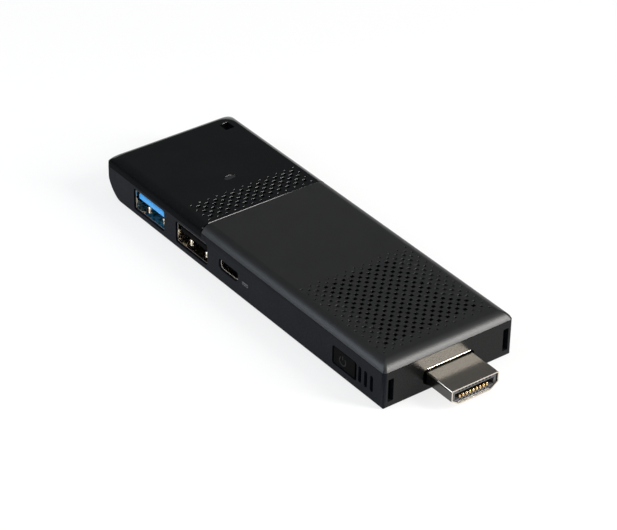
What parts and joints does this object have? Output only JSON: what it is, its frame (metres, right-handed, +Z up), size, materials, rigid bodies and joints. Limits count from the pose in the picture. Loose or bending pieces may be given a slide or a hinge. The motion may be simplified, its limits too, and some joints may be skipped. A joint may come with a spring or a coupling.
{
  "type": "hdmi stick computer",
  "caption": "Slim stick computer with a video plug on its front end, side sockets, a power button and a square-hole air grille over a small blower.",
  "frame": {"origin": "bottom centre of the whole part's box, plug included", "axes": "+X from the rear end to the plug, the port side faces -Y, +Z up"},
  "size_m": [0.1226, 0.038, 0.012],
  "materials": {
    "case_plastic": "fine satin moulding",
    "matte_cover": "matte, finely textured",
    "gloss_cover": "polished",
    "clear_plastic": "frosted clear",
    "black_plastic": "moulded",
    "blue_plastic": "moulded",
    "white_plastic": "moulded",
    "nickel_sheet": "nickel plated sheet",
    "gold_contact": "gold plated",
    "spring_steel": "bright sheet",
    "board_mask": "solder mask",
    "chip_resin": "moulded resin",
    "chip_substrate": "laminate with a bare die",
    "coil_ferrite": "pressed powder",
    "can_tin": "tin plated sheet",
    "screw_steel": "zinc plated",
    "copper_sheet": "plain copper",
    "aluminium_fin": "skived",
    "pad_silicone": "soft pad",
    "foam": "closed-cell foam",
    "fan_plastic": "moulded",
    "coil_winding": "enamelled wire on a core",
    "sleeve_bronze": "sintered bronze",
    "shaft_steel": "ground"
  },
  "bodies": {
    "case": {"lower_case": "case_plastic", "front_cover": "matte_cover", "rear_cover": "gloss_cover", "light_pipe": "clear_plastic", "switch_body": "black_plastic", "switch_dome": "spring_steel", "main_board": "board_mask", "board_screws": "screw_steel", "processor": "chip_substrate", "memory_chips": "chip_resin", "storage_chip": "chip_resin", "power_controller": "chip_resin", "power_coils": "coil_ferrite", "wireless_can": "can_tin", "rear_aerial": "gold_contact", "side_aerial": "gold_contact", "status_led": "white_plastic", "thermal_pad": "pad_silicone", "heat_spreader": "copper_sheet", "spreader_posts": "sleeve_bronze", "spreader_screws": "screw_steel", "fin_stack": "aluminium_fin", "blower_housing": "fan_plastic", "blower_plate": "fan_plastic", "blower_stator": "coil_winding", "blower_sleeve": "sleeve_bronze", "blower_screws": "screw_steel", "foam_ring": "foam", "plug_shell": "nickel_sheet", "plug_insulator": "black_plastic", "plug_contacts": "gold_contact", "blue_socket_shell": "nickel_sheet", "blue_socket_tongue": "blue_plastic", "blue_socket_contacts": "gold_contact", "black_socket_shell": "nickel_sheet", "black_socket_tongue": "black_plastic", "black_socket_contacts": "gold_contact", "inlet_shell": "nickel_sheet", "inlet_tongue": "black_plastic", "card_socket_shell": "can_tin", "card_socket_base": "black_plastic", "card_contacts": "gold_contact"},
    "button": {"power_button": "black_plastic", "switch_plunger": "white_plastic"},
    "fan": {"blower_rotor": "fan_plastic", "blower_shaft": "shaft_steel"}
  },
  "joints": [
    {"name": "button_press", "type": "slide", "parent": "case", "child": "button", "axis": [0, 1, 0], "range_m": [0, 0.00035], "stiffness_N_per_m": 1500, "springref_m": -0.0002},
    {"name": "fan_spin", "type": "hinge", "parent": "case", "child": "fan", "pos_m": [0.03175, 0, 0.008], "axis": [0, 0, 1], "continuous": true}
  ]
}
